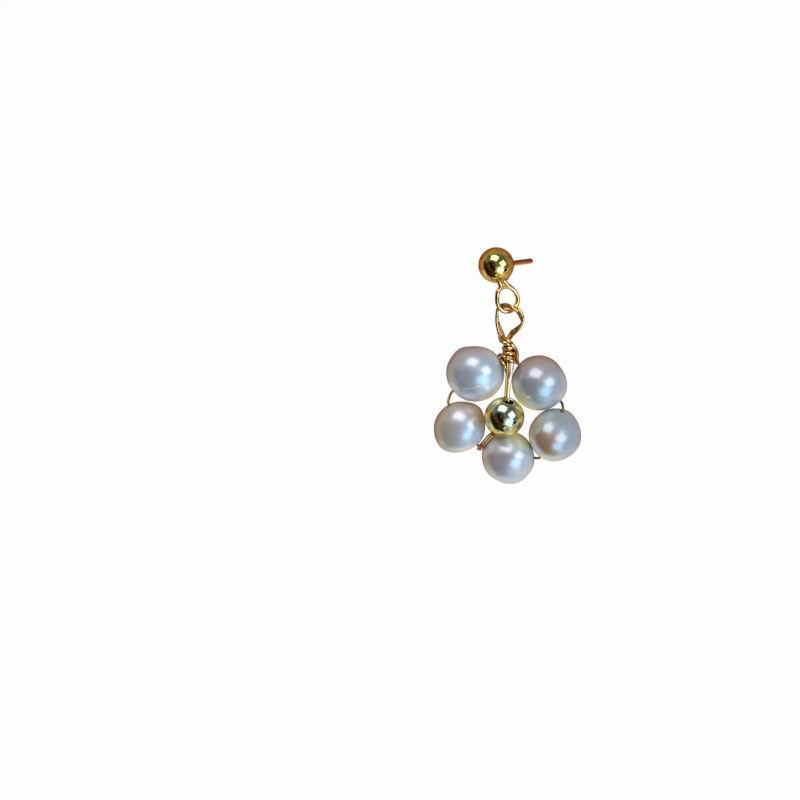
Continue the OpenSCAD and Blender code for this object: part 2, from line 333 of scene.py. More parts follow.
def pearl_material(name, seed, mid, r, lean, dark, deep, pale, warm_overtone_and_light, painted_dark, painted_rim_cool, painted_rim_warm, near, glow, lines,
                   narrow=1.02, metal=0.34, rough=(0.33, 0.42)):
    """Nacre: grey-lilac body that goes warm towards one side, partly its own overtone and partly painted warm light; a
    painted dark reflection on its darker side, a painted paler rim at grazing angles and painted golden light on the
    side facing the bead; all under a soft satin shine.
    """
    m, nt, b = nodes_of(name)
    b.inputs["Metallic"].default_value = metal
    b.inputs["IOR"].default_value = 1.6
    b.inputs["Coat Weight"].default_value = 1.0
    b.inputs["Coat Roughness"].default_value = 0.18
    b.inputs["Coat IOR"].default_value = 1.88
    co = add(nt, "ShaderNodeTexCoord")
    mp = add(nt, "ShaderNodeMapping")
    mp.inputs["Location"].default_value = (seed * 0.37, seed * 0.19, -seed * 0.23)
    nt.links.new(co.outputs["Object"], mp.inputs["Vector"])
    big = add(nt, "ShaderNodeTexNoise", Scale=230.0, Detail=2.0, Roughness=0.5)
    nt.links.new(mp.outputs["Vector"], big.inputs["Vector"])
    body = ramp(nt, big.outputs["Fac"], [(0.30, deep), (0.70, pale)]).outputs["Color"]
    # how far a point lies along the warm direction and along the one to the bead, -1 to 1 over the pearl
    rel = add(nt, "ShaderNodeVectorMath", _operation="SUBTRACT")
    nt.links.new(co.outputs["Object"], rel.inputs[0])
    rel.inputs[1].default_value = [float(c) * MM for c in mid]

    def sums(op, a, b=None):
        n = add(nt, "ShaderNodeMath", _operation=op)
        for i, x in enumerate((a, b)):
            if isinstance(x, (int, float)):
                n.inputs[i].default_value = x
            elif x is not None:
                nt.links.new(x, n.inputs[i])
        return n.outputs[0]

    def reach(way):
        n = add(nt, "ShaderNodeVectorMath", _operation="DOT_PRODUCT")
        nt.links.new(rel.outputs["Vector"], n.inputs[0])
        n.inputs[1].default_value = [float(c) / (r * MM) for c in way]
        return n.outputs["Value"]

    def along(way):
        return sums("ADD", sums("MULTIPLY", big.outputs["Fac"], 0.9), reach(way))
    # the body goes warmer towards the warm side: partly the nacre's own overtone, partly painted warm light on that
    # side
    warm = along(lean)
    body = mixed(nt, ease(nt, warm, 0.25, 1.25), body, warm_overtone_and_light)
    # painted reflection: a darker patch towards the darkest side, on the lower half, where the nacre mirrors its dark
    # surroundings
    shade = ease(nt, along(unit(dark[0] * RIGHT + dark[1] * UP - 0.83 * VIEW)), narrow, 1.42, 0.9)
    body = mixed(nt, sums("MULTIPLY", shade, ease(nt, reach(-UP), -0.36, 0.0)), body, painted_dark)
    # painted light: towards the outline the body turns to a rim colour, mostly paler and warm on the warm side, for
    # what the nacre mirrors and catches at grazing angles
    edge = add(nt, "ShaderNodeLayerWeight", Blend=0.5).outputs["Facing"]
    rim = mixed(nt, ease(nt, warm, 0.30, 1.30), painted_rim_cool, painted_rim_warm)
    # painted light: golden light thrown back from the bead, on the side facing it, in the rim and more faintly in the
    # body
    by_bead = along(near)
    rim = mixed(nt, ease(nt, by_bead, 0.75, 1.30), rim, glow)
    body = mixed(nt, ease(nt, by_bead, 0.88, 1.30, 0.85), body, glow)
    body = mixed(nt, ease(nt, edge, 0.24, 0.85), body, rim)
    # pale, broken growth lines towards the pearl's lower end
    t = reach(unit(0.12 * RIGHT - 0.95 * UP - 0.25 * VIEW))
    patches = add(nt, "ShaderNodeTexNoise", Scale=640.0, Detail=2.0, Roughness=0.6)
    nt.links.new(mp.outputs["Vector"], patches.inputs["Vector"])
    wave = sums("SINE", sums("ADD", sums("MULTIPLY", t, 42.0), sums("MULTIPLY", patches.outputs["Fac"], 9.0)))
    mask = sums("MULTIPLY", ease(nt, t, 0.50, 0.66), ease(nt, patches.outputs["Fac"], 0.46, 0.58))
    mask = sums("MULTIPLY", mask, ease(nt, sums("MULTIPLY", t, -1.0), -0.92, -0.80))
    body = mixed(nt, sums("MULTIPLY", sums("MULTIPLY", ease(nt, wave, 0.10, 1.0), mask), lines), body, (0.90, 0.91, 0.94))
    fine = add(nt, "ShaderNodeTexNoise", Scale=1500.0, Detail=5.0, Roughness=0.6)
    nt.links.new(mp.outputs["Vector"], fine.inputs["Vector"])
    c2 = ramp(nt, fine.outputs["Fac"], [(0.25, (0.94, 0.93, 0.94)), (0.75, (1.0, 1.0, 1.0))])
    mix = add(nt, "ShaderNodeMix", _data_type="RGBA", _blend_type="MULTIPLY")
    mix.inputs["Factor"].default_value = 1.0
    nt.links.new(body, mix.inputs[6])
    nt.links.new(c2.outputs["Color"], mix.inputs[7])
    nt.links.new(mix.outputs[2], b.inputs["Base Color"])
    hr = add(nt, "ShaderNodeMapRange")
    hr.inputs["From Min"].default_value, hr.inputs["From Max"].default_value = 0.3, 0.7
    hr.inputs["To Min"].default_value, hr.inputs["To Max"].default_value = rough
    nt.links.new(fine.outputs["Fac"], hr.inputs["Value"])
    nt.links.new(hr.outputs["Result"], b.inputs["Roughness"])
    skin = add(nt, "ShaderNodeTexNoise", Scale=1100.0, Detail=4.0, Roughness=0.55)
    nt.links.new(mp.outputs["Vector"], skin.inputs["Vector"])
    bump = add(nt, "ShaderNodeBump")
    bump.inputs["Strength"].default_value = 1.0
    bump.inputs["Distance"].default_value = 0.005 * MM
    nt.links.new(skin.outputs["Fac"], bump.inputs["Height"])
    nt.links.new(bump.outputs["Normal"], b.inputs["Normal"])
    return m


# In these golds the colour given after the streaks flag is painted reflection: the tint the metal takes towards its
# outline, where it mirrors dark or golden surroundings.
STUD_GOLD = gold("stud_gold", (0.82, 0.55, 0.17), (0.88, 0.63, 0.22), (0.93, 0.70, 0.28), (0.05, 0.10), 0.010, False, (0.80, 0.43, 0.13))
WIRE_GOLD = gold("wire_gold", (0.84, 0.49, 0.15), (0.94, 0.62, 0.24), (1.00, 0.75, 0.36), (0.04, 0.10), 0.002, True, (0.56, 0.24, 0.06))
# painted light: a paler copy of the wire colour for the lit right tail above the bead
WIRE_LIT = gold("wire_gold_painted_lit", (0.84, 0.66, 0.40), (0.90, 0.78, 0.55), (0.96, 0.88, 0.70), (0.05, 0.12), 0.002, True, (0.62, 0.40, 0.16))
# painted shade: a darker copy of the wire colour for the shaded left tail above the bead
WIRE_SHADED = gold("wire_gold_painted_shaded", (0.38, 0.20, 0.05), (0.50, 0.29, 0.08), (0.60, 0.37, 0.12), (0.12, 0.20), 0.003, True, (0.24, 0.10, 0.03))
# painted shade: a redder, warmer copy of the wire colour for the shaded hooks below the bead
WIRE_WARM_SHADE = gold("wire_gold_painted_warm_shade", (0.66, 0.29, 0.08), (0.84, 0.39, 0.12), (0.97, 0.50, 0.18), (0.12, 0.20), 0.003, True, (0.40, 0.15, 0.04))
# painted shade: a dark brown copy of the wire colour for the loop wire between the pearls
WIRE_LOOP_SHADE = gold("wire_gold_loop_painted_shade", (0.24, 0.12, 0.04), (0.34, 0.19, 0.06), (0.46, 0.28, 0.10), (0.14, 0.22), 0.003, True)
# painted shade: a near-black red-brown copy of the wire colour for the dark bars in the neck
WIRE_SHADE_FILL = gold("wire_gold_painted_deep_shade", (0.24, 0.09, 0.03), (0.33, 0.13, 0.04), (0.42, 0.18, 0.06), (0.45, 0.60), 0.004, True)
# painted reflections on the bead: a golden tint towards its outline and a warmer golden one towards its right side
BEAD_GOLD = gold("bead_gold", (0.66, 0.66, 0.47), (0.74, 0.74, 0.54), (0.82, 0.81, 0.61), (0.06, 0.14), 0.012, False, (0.90, 0.63, 0.15),
                 (to_row([-0.347, 0.35 - 2.2, -11.88]), 2.27, unit(0.95 * RIGHT + 0.25 * UP), (0.92, 0.72, 0.20)))
RING_GOLD = gold("ring_gold", (0.87, 0.50, 0.15), (0.94, 0.57, 0.20), (0.98, 0.64, 0.25), (0.05, 0.10), 0.004, False, (0.46, 0.22, 0.06))
SOLDER = gold("solder_gold", (0.50, 0.32, 0.12), (0.60, 0.40, 0.16), (0.68, 0.47, 0.20), (0.26, 0.38), 0.006)


def paint(ob, mat):
    ob.data.materials.clear()
    ob.data.materials.append(mat)


# ---------------------------------------------------------------- pearls
PEARLS = {   # centre across, depth, up, radius, in-mouth, out-mouth
    "pearl_top_left":    ((-3.64, 0.00, -7.10), 3.20, (0.79, 0.00, 0.61), (-0.79, 0.00, -0.61)),
    "pearl_lower_left":  ((-5.44, 0.00, -13.13), 2.92, (-0.40, -0.24, 0.88), (0.69, 0.16, -0.69)),
    "pearl_bottom":      ((0.03, 0.35, -16.60), 2.99, (-0.90, 0.04, 0.40), (0.99, 0.05, -0.02)),
    "pearl_lower_right": ((5.43, -0.45, -14.02), 3.00, (-0.56, 0.10, -0.82), (0.26, -0.36, 0.90)),
    "pearl_top_right":   ((3.64, 0.10, -8.16), 3.12, (0.76, 0.00, -0.65), (-0.73, 0.00, 0.68)),
}


def centre(name):
    c = np.array(PEARLS[name][0], float)
    c[1] += BACK
    return c


def mouth(name, side):
    c, r = centre(name), PEARLS[name][1]
    return c + r * unit(PEARLS[name][2 + side])


def hole_way(name):
    return unit(mouth(name, 1) - mouth(name, 0))


def drilled_ball(c, r, a, b, hole, lip, n_round, n_long, bend=None):
    """Ball with a straight hole from point a to point b on it, in one closed skin.
    It turns about the hole's own line, so the hole's rim is clean. bend moves each point of the skin."""
    u = unit(b - a)
    e1 = unit(np.cross(u, [0.21, 0.33, 0.92]))
    e2 = np.cross(u, e1)
    length = (b - a) @ u
    rows = []
    ang = 2 * math.pi * np.arange(n_round) / n_round
    prof = []
    for f in ang:
        e = math.cos(f) * e1 + math.sin(f) * e2
        side = np.cross(u, e)
        rel = c - a
        tc, rc, h = rel @ u, rel @ e, rel @ side
        rp = math.sqrt(r * r - h * h)
        s0 = math.asin(max(-1, min(1, (hole + lip - rc) / rp)))
        ps = np.linspace(s0, math.pi - s0, n_long)
        pts = [a + (tc + rp * math.cos(q)) * u + (rc + rp * math.sin(q)) * e for q in ps]
        # rounded lip and the wall of the hole, from the in side back to the out side
        t_in = tc + rp * math.cos(math.pi - s0)
        t_out = tc + rp * math.cos(s0)
        for k in (0.35, 0.7, 1.0):
            w = k * math.pi / 2
            pts.append(a + (t_in + lip * (1 - math.cos(w)) * 0.9) * u + (hole + lip * (1 - math.sin(w))) * e)
        for k in np.linspace(0, 1, 14)[1:-1]:
            pts.append(a + (t_in + lip + (t_out - t_in - 2 * lip) * k) * u + hole * e)
        for k in (1.0, 0.7, 0.35):
            w = k * math.pi / 2
            pts.append(a + (t_out - lip * (1 - math.cos(w)) * 0.9) * u + (hole + lip * (1 - math.sin(w))) * e)
        prof.append(pts)
    prof = np.array(prof)                        # round, long, 3
    k, m = prof.shape[:2]
    verts = prof.reshape(-1, 3)
    if bend is not None:
        verts = bend(verts)
    faces = []
    for i in range(k):
        i2 = (i + 1) % k
        for j in range(m):
            j2 = (j + 1) % m
            faces.append((i * m + j, i * m + j2, i2 * m + j2, i2 * m + j))
    return verts, faces


def outward(verts, faces, c):
    """Turns the faces so that they look out, judged on the face farthest from c."""
    v = np.asarray(verts)
    mid = np.array([v[list(f)].mean(0) for f in faces[::7]])
    i = int(np.argmax(np.linalg.norm(mid - c, axis=1))) * 7
    f = faces[i]
    nrm = np.cross(v[f[1]] - v[f[0]], v[f[2]] - v[f[0]])
    if nrm @ (v[list(f)].mean(0) - c) < 0:
        return [tuple(reversed(q)) for q in faces]
    return faces


def lean(name, d):
    """Depth shift of points d, seen from the pearl's centre: its face turns a little, its outline and back stay."""
    r = PEARLS[name][1]
    a, b, c = SHAPES[name][-1]
    top = 0.5 * (d[:, 2] + np.sqrt(d[:, 2] ** 2 + 0.2))
    k = np.clip((np.linalg.norm(d, axis=1) / r - 0.6) / 0.35, 0, 1)
    face = -d[:, 1] / r
    face = 0.5 * (face + np.sqrt(face * face + 0.16))
    return face * (a * d[:, 0] + b * d[:, 2] + c * top) * k * k * (3 - 2 * k)


def rim_of(name, side):
    """Where the drilling comes out of the finished pearl."""
    m = mouth(name, side)
    return m + np.array([0, lean(name, (m - centre(name))[None, :])[0], 0])


def pearl_bend(name, seed, wide, tall, deep, rings, lumps):
    c = centre(name)
    u = hole_way(name)

    def f(v):
        d = v - c
        d = d * np.array([wide, deep, tall])
        r = np.linalg.norm(d, axis=1)
        n = d / np.maximum(r, 1e-9)[:, None]
        k = np.array([noise.noise(Vector(q * 1.15) + Vector((seed * 3.1, seed * 5.7, seed * 1.3))) for q in n])
        k2 = np.array([noise.noise(Vector(q * 3.4) + Vector((seed * 1.1, seed * 2.7, seed * 4.3))) for q in n])
        rr = r * (1 + 0.010 * k + 0.0022 * k2)
        for at, spread, size in lumps:           # seen from the front: angle from the right, breadth, height in mm
            d0 = np.array([math.cos(math.radians(at)), 0.05 * math.sin(math.radians(at)), math.sin(math.radians(at))])
            off = np.degrees(np.arccos(np.clip(n @ unit(d0), -1, 1)))
            rr = rr + size * np.exp(-0.5 * (off / spread) ** 2) * (r / PEARLS[name][1]) ** 2
        if rings:                                # faint growth rings round the drilling, towards one end
            t = n @ u
            w = np.clip((t - 0.35) / 0.5, 0, 1) * np.clip((0.99 - t) / 0.1, 0, 1)
            rr = rr + rings * w * np.sin(22 * np.arccos(np.clip(t, -1, 1)) + 1.3 * k) * (r > 0.8 * PEARLS[name][1])
        out = n * rr[:, None]
        out[:, 1] += lean(name, out)
        return c + out
    return f


SHAPES = {  # seed, wide, tall, deep, rings, lumps, lean of the front (across, up, up near the top)
    "pearl_top_left": (1, 1.030, 0.985, 0.99, 0.012, ((120, 10, 0.15), (142, 24, 0.07), (50, 15, 0.05), (207, 16, -0.06)), (0.00, -0.06, 0.0)),
    "pearl_top_right": (2, 1.010, 0.995, 0.99, 0.006, ((32, 17, -0.13), (86, 14, 0.06), (118, 14, 0.09), (332, 15, 0.05)), (0.04, 0.06, 0.0)),
    "pearl_lower_left": (3, 1.004, 0.990, 0.90, 0.005, ((232, 21, 0.27), (140, 27, -0.12), (300, 18, -0.08), (45, 17, 0.30)), (-0.08, 0.06, 0.0)),
    "pearl_lower_right": (4, 1.004, 1.008, 0.99, 0.005, ((15, 23, -0.08), (60, 10, 0.09), (135, 12, -0.05), (298, 19, -0.09)), (0.20, 0.25, -0.04)),
    "pearl_bottom": (5, 1.008, 1.004, 0.99, 0.006, ((195, 18, -0.10), (243, 15, -0.13), (293, 18, 0.11), (340, 15, 0.08)), (-0.06, -0.08, 0.17)),
}
# warm side and darkest side (across, up); body deep, pale, warm (partly own overtone, partly painted warm light) and
# darkest (painted dark reflection); painted rim colour, cool and warm; side next to the bead (across, up) and the
# painted golden light from the bead
TINTS = {
    "pearl_top_left": ((-0.7, 0.7), (-0.52, -0.20), (0.48, 0.50, 0.54), (0.57, 0.60, 0.65), (0.54, 0.52, 0.55), (0.41, 0.41, 0.42), (0.97, 0.99, 1.0),
                       (0.47, 0.39, 0.49), (0.8, -0.6), (1.0, 1.0, 1.0)),
    "pearl_top_right": ((-0.05, 1.0), (-0.48, -0.15), (0.38, 0.40, 0.42), (0.46, 0.49, 0.52), (0.49, 0.40, 0.42), (0.33, 0.31, 0.30), (0.75, 0.76, 0.80),
                        (0.41, 0.28, 0.28), (-0.75, -0.66), (0.96, 0.98, 0.72)),
    "pearl_lower_left": ((-1.0, -0.05), (-0.52, -0.20), (0.47, 0.49, 0.55), (0.55, 0.57, 0.63), (0.64, 0.50, 0.38), (0.50, 0.44, 0.34), (0.92, 0.94, 0.98),
                         (0.42, 0.32, 0.28), (0.62, 0.80), (0.72, 0.50, 0.29)),
    "pearl_lower_right": ((-0.9, -0.45), (-0.42, -0.14), (0.36, 0.39, 0.42), (0.44, 0.47, 0.51), (0.46, 0.45, 0.40), (0.42, 0.22, 0.11), (0.50, 0.58, 0.62),
                          (0.96, 1.00, 0.94), (-0.55, 0.83), (0.58, 0.56, 0.46)),
    "pearl_bottom": ((-0.85, 0.40), (-0.44, -0.06), (0.50, 0.51, 0.54), (0.60, 0.62, 0.65), (0.74, 0.62, 0.55), (0.41, 0.32, 0.33), (0.71, 0.75, 0.84),
                     (0.78, 0.74, 0.72), (0.36, 0.95), (1.00, 0.88, 0.50)),
}
for name, (pos, r, a, b) in PEARLS.items():
    seed, wide, tall, deep, rings, lumps = SHAPES[name][:-1]
    v, f = drilled_ball(centre(name), r, mouth(name, 0), mouth(name, 1), 0.25, 0.04, 112, 84,
                        pearl_bend(name, seed, wide, tall, deep, rings, lumps))
    v = to_row(v)
    f = outward(v, f, to_row(centre(name)))
    ob = make_mesh("nacre_" + name, v, f, "drop", [name])
    (la, lu), dark, *tints, (ga, gu), glow = TINTS[name]
    paint(ob, pearl_material("nacre_" + name, seed, to_row(centre(name)), r, la * RIGHT + lu * UP, dark, *tints,
                             ga * RIGHT + gu * UP, glow, 0.50 if seed == 1 else 0.10, 1.10 if seed == 4 else 1.02))

# ---------------------------------------------------------------- bead
BEAD_C = np.array([-0.347, BACK - 2.2, -11.88])
BEAD_R = 2.27
LEAN, TIP = math.radians(15.5), math.radians(28)
BEAD_UP = np.array([math.cos(TIP) * math.sin(LEAN), -math.sin(TIP), math.cos(TIP) * math.cos(LEAN)])
BEAD_SIDE = np.array([math.cos(LEAN), 0, -math.sin(LEAN)])
BEAD_FORE = np.cross(BEAD_SIDE, BEAD_UP)       # square to both, towards the viewer


def bead_bend(v):
    d = v - BEAD_C
    r = np.linalg.norm(d, axis=1)
    n = d / r[:, None]
    k = np.array([noise.noise(Vector(q * 1.6) + Vector((9.1, 2.2, 4.4))) for q in n])
    return BEAD_C + n * (r * (1 + 0.003 * k))[:, None]


hr = math.sqrt(BEAD_R ** 2 - 0.6 ** 2)
v, f = drilled_ball(BEAD_C, BEAD_R, BEAD_C - BEAD_R * BEAD_UP, BEAD_C + BEAD_R * BEAD_UP, 0.56, 0.13, 128, 96, bead_bend)
v = to_row(v)
f = outward(v, f, to_row(BEAD_C))
bead = make_mesh("polished_bead", v, f, "drop", ["gold_bead"])
paint(bead, BEAD_GOLD)


# ---------------------------------------------------------------- flower wire
def hermite(p, a, q, b, n, d0=0.8):
    d = d0 * np.linalg.norm(np.asarray(q) - np.asarray(p))
    t = np.linspace(0, 1, n + 1)[:, None]
    p, a, q, b = (np.asarray(x, float) for x in (p, a, q, b))
    return ((2 * t**3 - 3 * t**2 + 1) * p + (t**3 - 2 * t**2 + t) * d * a
            + (3 * t**2 - 2 * t**3) * q + (t**3 - t**2) * d * b)


def bridge(p, q, d0=0.8):
    return hermite(rim_of(p, 1) + 0.12 * hole_way(p), hole_way(p),
                   rim_of(q, 0) - 0.12 * hole_way(q), hole_way(q), 24, d0)


WIRE_R = 0.155
TL, LL, BO, RL, TR = "pearl_top_left", "pearl_lower_left", "pearl_bottom", "pearl_lower_right", "pearl_top_right"
loop = np.vstack([
    mouth(TL, 0) + 0.10 * hole_way(TL),
    bridge(TL, LL, 0.5), bridge(LL, BO), bridge(BO, RL, 0.45), bridge(RL, TR, 0.5),
    mouth(TR, 1) - 0.10 * hole_way(TR)])
# the wire's one end comes out of the top left pearl, crosses the neck's foot in front, goes round behind it
# and comes out on the left again, where it is cut off short between the two tails
over = catmull([mouth(TL, 0) + 0.10 * hole_way(TL), mouth(TL, 0) - 0.22 * hole_way(TL), [-0.84, 0.00, -4.88], [-0.68, -0.62, -4.90],
                [-0.36, -1.08, -5.05], [-0.05, -1.18, -5.36], [0.35, -1.22, -5.48], [0.73, -0.98, -5.64], [1.05, -0.50, -5.80],
                [1.16, 0.06, -5.76], [0.84, 0.64, -5.62], [0.24, 0.80, -5.50], [-0.30, 0.68, -5.40], [-0.64, 0.28, -5.28],
                [-0.70, -0.25, -5.30], [-0.66, -0.75, -5.48], [-0.50, -1.12, -5.70], [-0.36, -1.32, -5.94], [-0.30, -1.40, -6.20],
                [-0.30, -1.42, -6.44]], 12)
line = relax(resample(np.vstack([loop[::-1], over[1:]]), 0.06), 2)
up = np.clip((line[:, 2] + 6.1) / 0.5, 0, 1)
inside = int(np.argmin(np.linalg.norm(line - centre(TL), axis=1)))
ring_parts = [tube(to_row(line[inside:]), 0.142 + 0.034 * up[inside:], 14, seed=3)]
# the wire's run through and between the pearls, painted in shade
v, f, u = tube(to_row(line[:inside + 1]), 0.142, 14, seed=4)
loop_wire = make_mesh("pearl_loop_wire", v, f, "drop", (), u)
paint(loop_wire, WIRE_LOOP_SHADE)

# eyelet: a pair of wires with a loose hand twist, from its right foot round to its left one:
# across, up, half the pair's spread, twist in degrees (0 = side by side as seen from the front)
EYELET = [(0.46, -2.52, 0.175, -14), (0.78, -2.24, 0.165, 4), (1.12, -1.95, 0.155, 34), (1.46, -1.58, 0.155, 70),
          (1.72, -1.10, 0.155, 100), (1.62, -0.58, 0.155, 138), (1.40, -0.10, 0.150, 176), (1.06, 0.26, 0.150, 214),
          (0.60, 0.52, 0.155, 268), (0.08, 0.64, 0.17, 322), (-0.46, 0.64, 0.17, 362), (-0.90, 0.42, 0.15, 410),
          (-1.12, 0.08, 0.150, 440), (-1.19, -0.42, 0.150, 456), (-1.17, -0.96, 0.150, 470), (-1.06, -1.52, 0.150, 496),
          (-0.90, -2.02, 0.175, 524), (-0.76, -2.42, 0.20, 538), (-0.65, -2.70, 0.205, 542)]
ey = catmull(EYELET, 10)
mid = np.column_stack([ey[:, 0], -ey[:, 0] * math.tan(math.radians(32)), ey[:, 1]])
way = np.gradient(mid, axis=0)
way /= np.linalg.norm(way, axis=1)[:, None]
flat = np.cross(way, [0, 1, 0])
flat /= np.linalg.norm(flat, axis=1)[:, None]
deep = np.cross(way, flat)
tw = np.radians(ey[:, 3])[:, None]
shift = ey[:, 2][:, None] * (np.cos(tw) * flat + np.sin(tw) * deep)
one, two = mid + shift, mid - shift

# at the left foot the right-hand wire crosses the neck in front and bulges down its right side into the top right pearl;
# the left-hand one makes the turns round the neck
CROSS = [[-0.38, 0.02, -2.86], [-0.20, -0.36, -3.06], [0.02, -0.62, -3.28], [0.27, -0.76, -3.52], [0.54, -0.76, -3.76],
         [0.82, -0.58, -4.04], [1.00, -0.32, -4.34], [1.11, -0.08, -4.70], [1.14, 0.08, -5.10], [1.12, 0.24, -5.50],
         mouth(TR, 1) + 0.20 * hole_way(TR), mouth(TR, 1) - 0.10 * hole_way(TR)]
TURNS = [[-0.84, 0.16, -3.00], [-0.74, -0.16, -3.26], [-0.44, -0.46, -3.46], [-0.08, -0.60, -3.61], [0.26, -0.44, -3.74],
         [0.48, -0.06, -3.84], [0.34, 0.36, -3.92], [-0.04, 0.48, -4.00], [-0.34, 0.26, -4.12], [-0.36, -0.12, -4.24],
         [-0.16, -0.42, -4.27], [0.16, -0.54, -4.18], [0.50, -0.42, -4.06], [0.74, -0.08, -4.02], [0.66, 0.34, -4.14],
         [0.26, 0.54, -4.36], [-0.18, 0.38, -4.54], [-0.36, 0.04, -4.66], [-0.26, -0.32, -4.72], [0.04, -0.54, -4.75],
         [0.40, -0.52, -4.74], [0.68, -0.24, -4.76], [0.74, 0.16, -4.84], [0.42, 0.48, -4.98], [0.00, 0.44, -5.06],
         [-0.26, 0.14, -5.14], [-0.18, -0.26, -5.20], [0.12, -0.46, -5.22], [0.44, -0.36, -5.26], [0.48, -0.06, -5.38]]
a_foot, b_foot = (one, two) if one[-1, 0] > two[-1, 0] else (two, one)       # right and left wires at the left foot
ends = {id(a_foot): CROSS, id(b_foot): TURNS}
inner = one if one[0, 0] < two[0, 0] else two                                # left wire at the right foot
outer = two if inner is one else one
starts = {id(inner): [[0.20, 0.02, -5.60], [0.16, -0.02, -5.00], [0.06, 0.00, -4.50], [0.00, 0.04, -4.00],
                      [0.00, 0.06, -3.50], [0.10, 0.06, -3.00]],
          id(outer): [[0.26, 0.16, -5.60], [0.22, 0.14, -5.00], [0.14, 0.16, -4.50],
                      [0.08, 0.20, -4.00], [0.12, 0.22, -3.50], [0.36, 0.16, -3.00]]}
for k, q in enumerate((one, two)):
    head = np.array(starts[id(q)])
    tail = np.array(ends[id(q)])
    whole = np.vstack([catmull(np.vstack([head, q[4:5]]), 10)[:-1], q[4:-4], catmull(np.vstack([q[-4:-3], tail]), 10)])
    whole = relax(resample(whole, 0.05), 5)
    # the wound part is drawn as thick as the two wires pressed together
    s = np.concatenate([[0], np.cumsum(np.linalg.norm(np.diff(whole, axis=0), axis=1))])
    inside = whole[:, 2] < -2.95
    thick = np.where(inside, 0.186 if q is a_foot else np.interp(-whole[:, 2], [3.0, 3.5, 5.0, 5.4], [0.21, 0.24, 0.24, 0.20]), 0.166)
    thick = np.convolve(np.pad(thick, 12, mode="edge"), np.ones(25) / 25, mode="valid")
    ring_parts.append(tube(to_row(whole), thick, 16, seed=11 + k))

# the straight wires inside the turns, drawn as one bar painted in deep shade; side_bar and foot_bar are further dark
# bars of painted shade, put in the gaps down the right of the turns and behind the tails
bar = relax(resample(catmull([[-0.62, 0.20, -2.80], [-0.44, 0.10, -3.16], [-0.14, 0.04, -3.60], [0.12, 0.02, -4.10], [0.22, 0.02, -4.80],
                              [0.22, 0.02, -5.30], [0.10, -0.20, -5.70]], 8), 0.05), 3)
side_bar = relax(resample(catmull([[0.36, 0.16, -3.56], [0.62, 0.14, -3.96], [0.80, 0.14, -4.40], [0.82, 0.16, -4.90], [0.74, 0.14, -5.36],
                                   [0.60, 0.10, -5.62]], 8), 0.05), 3)
foot_bar = relax(resample(catmull([[-0.30, 0.10, -5.10], [-0.36, -0.26, -5.60], [-0.20, -0.56, -6.20], [0.00, -0.86, -6.80], [0.06, -1.10, -7.30],
                                   [0.04, -1.24, -7.60]], 8), 0.05), 3)
v, f, u = joined([
    tube(to_row(bar), np.interp(-bar[:, 2], [2.8, 3.2, 3.7, 4.2, 5.0, 5.7], [0.15, 0.32, 0.38, 0.46, 0.48, 0.30]), 24, seed=31),
    tube(to_row(side_bar), 0.27, 16, seed=32),
    tube(to_row(foot_bar), np.interp(-foot_bar[:, 2], [5.1, 5.8, 6.8, 7.6], [0.24, 0.30, 0.26, 0.10]), 16, seed=33)])
painted_dark = make_mesh("neck_core", v, f, "drop", (), u)
paint(painted_dark, WIRE_SHADE_FILL)
v, f, u = joined(ring_parts)
flower = make_mesh("wrapped_flower_wire", v, f, "drop", ["flower_wire"], u)
paint(flower, WIRE_GOLD)

# ---------------------------------------------------------------- centre wire
LOW = [([-3.06, 1.27, -15.46], (0.95, 0, -0.30)), ([-3.20, 0.90, -15.70], (0.95, 0, -0.30)),
       ([-3.15, 0.35, -15.60], (0.95, 0, -0.30)), ([-3.00, -0.25, -15.30], (0.85, 0, -0.50)),
       ([-2.60, -0.45, -14.85], (0.78, 0, -0.63)), ([-1.72, -0.62, -13.90], (0.78, 0, -0.63)),
       (BEAD_C - (BEAD_R - 0.12) * BEAD_UP - 0.10 * BEAD_SIDE, BEAD_SIDE),
       (BEAD_C - 0.14 * BEAD_SIDE, 0.85 * BEAD_SIDE + 0.56 * BEAD_FORE)]
MOUTH = BEAD_C + (BEAD_R - 0.12) * BEAD_UP
# above the bead the two part a little; both go in behind the crossing wire
HIGH = {-1: [MOUTH - 0.37 * BEAD_SIDE - 0.10 * BEAD_FORE, [-0.20, -2.56, -9.60], [-0.18, -2.32, -9.10], [-0.12, -2.00, -8.35],
             [-0.08, -1.76, -7.85], [-0.03, -1.52, -7.30], [0.02, -1.30, -6.75], [0.05, -1.10, -6.25], [0.06, -0.92, -5.85],
             [0.04, -0.84, -5.46]],
        1: [MOUTH - 0.08 * BEAD_SIDE - 0.14 * BEAD_FORE, [0.10, -2.68, -9.70], [0.11, -2.48, -9.25], [0.20, -2.14, -8.35],
            [0.39, -1.76, -7.40], [0.50, -1.44, -6.55], [0.54, -1.20, -6.10], [0.52, -1.04, -5.80], [0.46, -0.92, -5.54]]}
# above the bead the two tails are one wire, painted twice: the left in shade, the right lit
shaded_parts, lit_parts, hook_parts = [], [], []
for sgn in (-1, 1):
    pts = [np.asarray(c, float) + sgn * (0.132 if k < 6 else 0.175) * np.asarray(w, float) for k, (c, w) in enumerate(LOW)]
    pts += [np.array(q) for q in HIGH[sgn]]
    way = relax(resample(catmull(pts, 10), 0.06), 3)
    thick = np.interp(way[:, 2], [-9.4, -8.4, -7.2, -6.6, -6.0, -5.5], [0.155, 0.165, 0.190, 0.210, 0.200, 0.15])
    half = int(np.argmin(np.linalg.norm(way - BEAD_C, axis=1)))
    hook_parts.append(tube(to_row(way[:half + 1]), thick[:half + 1], 16, seed=41 + sgn))
    (shaded_parts if sgn < 0 else lit_parts).append(tube(to_row(way[half:]), thick[half:], 16, seed=45 + sgn))
